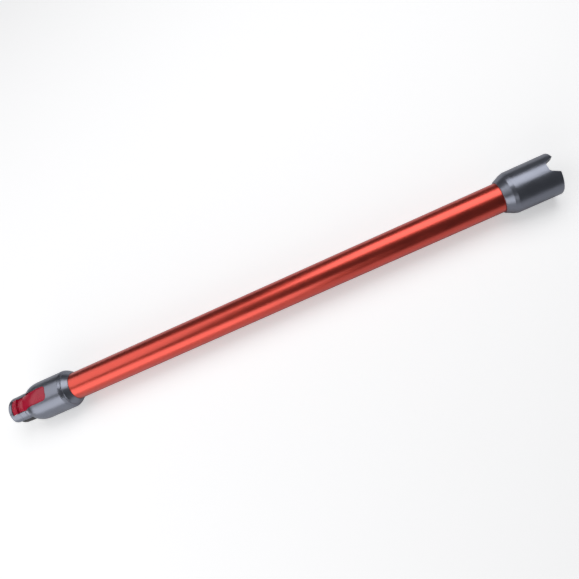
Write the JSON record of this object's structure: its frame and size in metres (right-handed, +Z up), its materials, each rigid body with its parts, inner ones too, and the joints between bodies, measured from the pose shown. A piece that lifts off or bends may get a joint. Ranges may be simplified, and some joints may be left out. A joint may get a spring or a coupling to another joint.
{
  "type": "vacuum cleaner extension wand",
  "caption": "Straight anodised aluminium suction wand with a grey spigot collar, red release button and plug at one end and a notched socket at the other.",
  "frame": {"origin": "on the surface that the wand lies on, midway along it and below its axis", "axes": "+X along the wand, from the spigot with the release button to the socket; +Z up, the way the release button faces; +Y to the left of +X"},
  "size_m": [0.72, 0.0492, 0.0492],
  "materials": {
    "coral_aluminium": "bead-blasted, anodised coral red",
    "grey_plastic": "satin moulded blue-grey",
    "black_plastic": "matt moulded black",
    "red_plastic": "satin moulded red",
    "red_wire": "insulated wire",
    "black_wire": "insulated wire",
    "seal_rubber": "soft rubber",
    "screw_steel": "zinc-plated steel",
    "spring_steel": "bright spring wire",
    "contact_brass": "bare brass"
  },
  "bodies": {
    "wand": {"wand_tube": "coral_aluminium", "wire_raceway": "black_plastic", "wire_positive": "red_wire", "wire_negative": "black_wire", "upper_cuff": "grey_plastic", "upper_nose_ring": "grey_plastic", "upper_duct": "black_plastic", "upper_gasket": "seal_rubber", "upper_cuff_screws": "screw_steel", "button_hinge_pin": "screw_steel", "button_spring": "spring_steel", "plug_housing": "black_plastic", "plug_prong_left": "contact_brass", "plug_prong_right": "contact_brass", "lower_cuff": "grey_plastic", "socket_liner": "black_plastic", "lower_gasket": "seal_rubber", "lower_cuff_screws": "screw_steel", "contact_block": "black_plastic", "socket_contact_left": "contact_brass", "socket_contact_right": "contact_brass"},
    "button": {"release_button": "red_plastic"}
  },
  "joints": [
    {"name": "button_press", "type": "hinge", "parent": "wand", "child": "button", "pos_m": [-0.3045, 0, 0.0452], "axis": [0, -1, 0], "range_deg": [0, 2.8], "stiffness_Nm_per_rad": 0.2, "springref_deg": -17.19, "deforming": ["button_spring"]}
  ]
}
